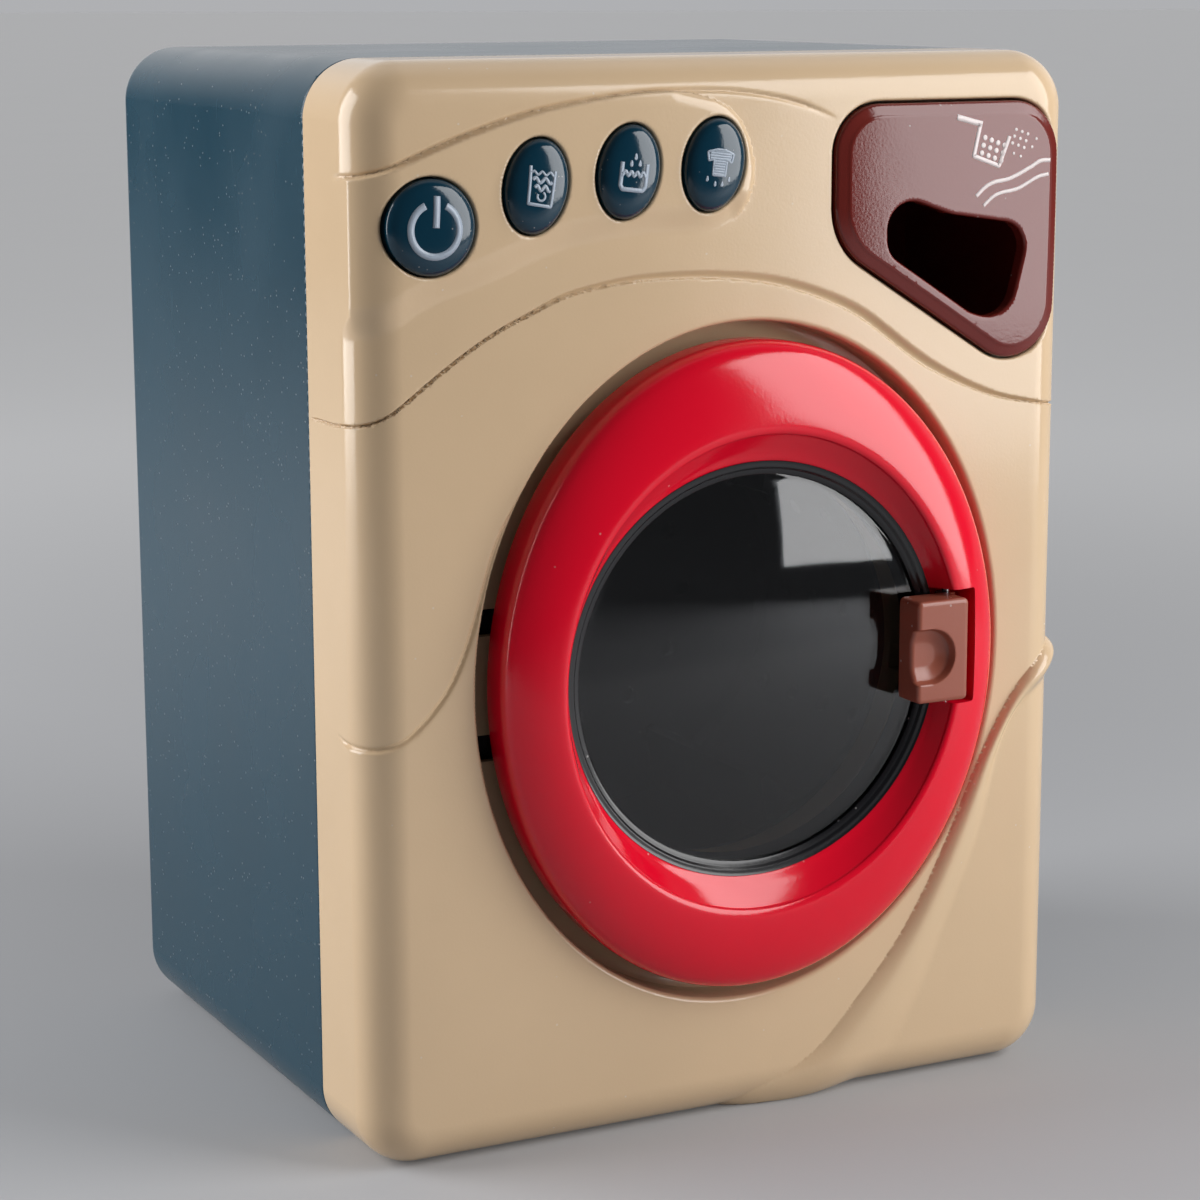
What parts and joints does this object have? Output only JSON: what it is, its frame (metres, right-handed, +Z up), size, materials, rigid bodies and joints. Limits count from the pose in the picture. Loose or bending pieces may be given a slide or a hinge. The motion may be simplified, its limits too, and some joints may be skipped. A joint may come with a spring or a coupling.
{
  "type": "toy washing machine",
  "caption": "Front-loading toy washing machine: two-part moulded casing, oval hinged door with smoked window, turning drum, detergent drawer and sprung buttons.",
  "frame": {"origin": "middle of the flat base, on the surface it stands on, halfway between the front face and the back and between the two sides", "axes": "+Z up, the door faces -Y, +X to the right as seen from the front"},
  "size_m": [0.1796, 0.1626, 0.24],
  "materials": {
    "beige_shell": "glossy moulded, fine scuffs",
    "teal_shell": "satin moulded, dusty",
    "teal_inner": "plain moulded",
    "red_shell": "high gloss",
    "black_trim": "gloss black",
    "smoked_window": "smoked clear plastic, glossy",
    "latch_brown": "satin moulded",
    "drawer_brown": "glossy moulded",
    "teal_button": "gloss, printed",
    "dark_tub": "plain moulded",
    "drum_plastic": "plain moulded",
    "inner_plastic": "plain moulded",
    "gear_plastic": "natural, greased",
    "bright_steel": "drawn",
    "spring_steel": "wound wire",
    "screw_steel": "zinc plated",
    "bush_brass": "turned",
    "motor_can": "drawn can",
    "cell_jacket": "plain jacket",
    "board_green": "lacquered board",
    "wire_skin": "plain insulation"
  },
  "bodies": {
    "casing": {"front_bezel": "beige_shell", "rear_casing": "teal_shell", "casing_screws": "screw_steel", "battery_box": "teal_inner", "battery_box_screws": "screw_steel", "battery_cells": "cell_jacket", "battery_contacts": "spring_steel", "battery_cover": "teal_shell", "battery_cover_screw": "screw_steel", "tub": "dark_tub", "tub_screws": "screw_steel", "shaft_bush": "bush_brass", "idler_pin": "bright_steel", "motor": "motor_can", "motor_screws": "screw_steel", "gear_plate": "inner_plastic", "gear_plate_screws": "screw_steel", "hinge_pin": "bright_steel", "power_spring": "spring_steel", "wash_spring": "spring_steel", "rinse_spring": "spring_steel", "spin_spring": "spring_steel", "circuit_board": "board_green", "board_switches": "black_trim", "board_screws": "screw_steel", "drawer_guide": "inner_plastic", "guide_screws": "screw_steel", "speaker": "black_trim", "speaker_clamp": "bright_steel", "speaker_screws": "screw_steel", "motor_wires": "wire_skin", "battery_wires": "wire_skin", "speaker_wires": "wire_skin"},
    "door": {"door_ring": "red_shell", "window_rim": "black_trim", "door_window": "smoked_window", "door_back": "dark_tub", "door_screws": "screw_steel", "latch_pin": "bright_steel", "latch_spring": "spring_steel"},
    "latch": {"door_latch": "latch_brown"},
    "drum_unit": {"drum": "drum_plastic", "drum_shaft": "bright_steel", "drum_gear": "gear_plastic", "shaft_clip": "spring_steel"},
    "idler": {"idler_gear": "gear_plastic"},
    "pinion": {"motor_pinion": "bush_brass"},
    "drawer": {"detergent_drawer": "drawer_brown"},
    "power_key": {"power_button": "teal_button"},
    "wash_key": {"wash_button": "teal_button"},
    "rinse_key": {"rinse_button": "teal_button"},
    "spin_key": {"spin_button": "teal_button"}
  },
  "joints": [
    {"name": "door_hinge", "type": "hinge", "parent": "casing", "child": "door", "pos_m": [-0.0685, -0.0685, 0.1054], "axis": [0, 0, -1], "range_deg": [0, 95]},
    {"name": "latch_pivot", "type": "hinge", "parent": "door", "child": "latch", "pos_m": [0.0535, -0.0778, 0.1069], "axis": [0, 0, 1], "range_deg": [0, 10], "stiffness_Nm_per_rad": 0.01, "springref_deg": -2.86, "deforming": ["latch_spring"]},
    {"name": "drawer_slide", "type": "slide", "parent": "casing", "child": "drawer", "axis": [0, -1, 0], "range_m": [0, 0.044]},
    {"name": "drum_spin", "type": "hinge", "parent": "casing", "child": "drum_unit", "pos_m": [0.0034, -0.014, 0.1054], "axis": [0, 1, 0], "continuous": true},
    {"name": "idler_spin", "type": "hinge", "parent": "casing", "child": "idler", "pos_m": [-0.0146, 0.036, 0.1294], "axis": [0, 1, 0], "continuous": true},
    {"name": "pinion_spin", "type": "hinge", "parent": "casing", "child": "pinion", "pos_m": [-0.0146, 0.041, 0.1544], "axis": [0, 1, 0], "continuous": true},
    {"name": "power_press", "type": "slide", "parent": "casing", "child": "power_key", "axis": [0, 1, 0], "range_m": [0, 0.0015], "stiffness_N_per_m": 400, "springref_m": -0.002, "deforming": ["power_spring"]},
    {"name": "wash_press", "type": "slide", "parent": "casing", "child": "wash_key", "axis": [0, 1, 0], "range_m": [0, 0.0015], "stiffness_N_per_m": 400, "springref_m": -0.002, "deforming": ["wash_spring"]},
    {"name": "rinse_press", "type": "slide", "parent": "casing", "child": "rinse_key", "axis": [0, 1, 0], "range_m": [0, 0.0015], "stiffness_N_per_m": 400, "springref_m": -0.002, "deforming": ["rinse_spring"]},
    {"name": "spin_press", "type": "slide", "parent": "casing", "child": "spin_key", "axis": [0, 1, 0], "range_m": [0, 0.0015], "stiffness_N_per_m": 400, "springref_m": -0.002, "deforming": ["spin_spring"]}
  ],
  "couplings": [
    {"joint": "idler_spin", "follows": "drum_spin", "ratio": -4},
    {"joint": "pinion_spin", "follows": "drum_spin", "ratio": 16}
  ]
}
